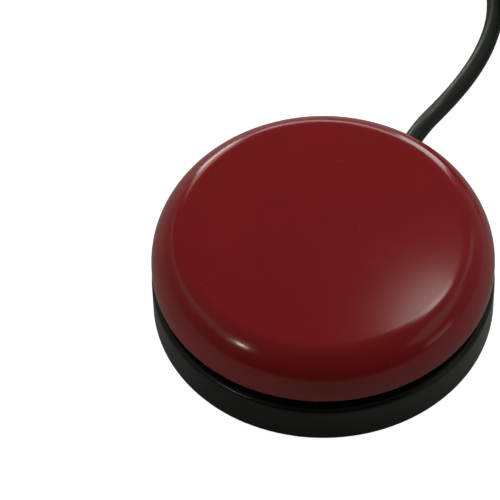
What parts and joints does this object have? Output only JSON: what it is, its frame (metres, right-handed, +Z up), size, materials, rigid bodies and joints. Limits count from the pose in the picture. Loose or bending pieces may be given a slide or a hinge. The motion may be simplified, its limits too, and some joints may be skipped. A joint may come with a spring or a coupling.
{
  "type": "quiz buzzer",
  "caption": "Round hand-held quiz buzzer: a domed push cap on a flat base, with guided posts, return springs, a snap switch, and a thin cord to a jack plug.",
  "frame": {"origin": "centre of the base on the surface it stands on", "axes": "+Z up along the cap's travel, +Y towards the cord's exit"},
  "size_m": [0.0757, 0.1746, 0.0223],
  "materials": {
    "base_housing": "satin black moulded plastic",
    "rubber_feet": "matt black rubber",
    "button_cap": "dark red moulded plastic, satin crown",
    "cap_carrier": "natural white nylon",
    "steel_screws": "zinc plated",
    "steel_washers": "zinc plated",
    "spring_steel": "drawn wire",
    "circuit_board": "green solder mask",
    "solder": "bright solder",
    "switch_body": "black moulded case",
    "switch_cover": "black moulded cover",
    "terminals": "tinned brass",
    "switch_plunger": "red moulded pin",
    "switch_lever": "stamped strip",
    "strain_relief": "soft black moulding",
    "cable_clamp": "black nylon",
    "wire_red": "red insulation",
    "wire_black": "black insulation",
    "cord_jacket": "satin black PVC",
    "coil_tie": "black hook and loop strap",
    "plug_body": "moulded black PVC",
    "plug_metal": "nickel plated",
    "plug_insulator": "black ring"
  },
  "bodies": {
    "base": {"base_housing": "base_housing", "rubber_feet": "rubber_feet", "board_screws": "steel_screws", "clamp_screws": "steel_screws", "circuit_board": "circuit_board", "solder_joints": "solder", "switch_body": "switch_body", "switch_cover": "switch_cover", "switch_terminals": "terminals", "strain_relief": "strain_relief", "cable_clamp": "cable_clamp", "wire_red": "wire_red", "wire_black": "wire_black", "cord_inner": "cord_jacket", "cord_run": "cord_jacket", "cord_coil": "cord_jacket", "cord_tail": "cord_jacket", "coil_tie": "coil_tie", "plug_body": "plug_body", "plug_sleeve": "plug_metal", "plug_tip": "plug_metal", "plug_insulator": "plug_insulator", "return_springs": "spring_steel"},
    "button": {"button_cap": "button_cap", "cap_carrier": "cap_carrier", "cap_screws": "steel_screws", "stop_washers": "steel_washers", "stop_screws": "steel_screws"},
    "lever": {"switch_lever": "switch_lever"},
    "plunger": {"switch_plunger": "switch_plunger"}
  },
  "joints": [
    {"name": "button_press", "type": "slide", "parent": "base", "child": "button", "axis": [0, 0, -1], "range_m": [0, 0.0018], "stiffness_N_per_m": 700, "springref_m": -0.002, "deforming": ["return_springs"]},
    {"name": "lever_pivot", "type": "hinge", "parent": "base", "child": "lever", "pos_m": [-0.0052, 0, 0.0123], "axis": [0, 1, 0], "range_deg": [0, 10.4]},
    {"name": "plunger_slide", "type": "slide", "parent": "base", "child": "plunger", "axis": [0, 0, -1], "range_m": [0, 0.00045]}
  ],
  "couplings": [
    {"joint": "lever_pivot", "follows": "button_press", "rad_per_m": 97},
    {"joint": "plunger_slide", "follows": "button_press", "ratio": 0.2333}
  ]
}
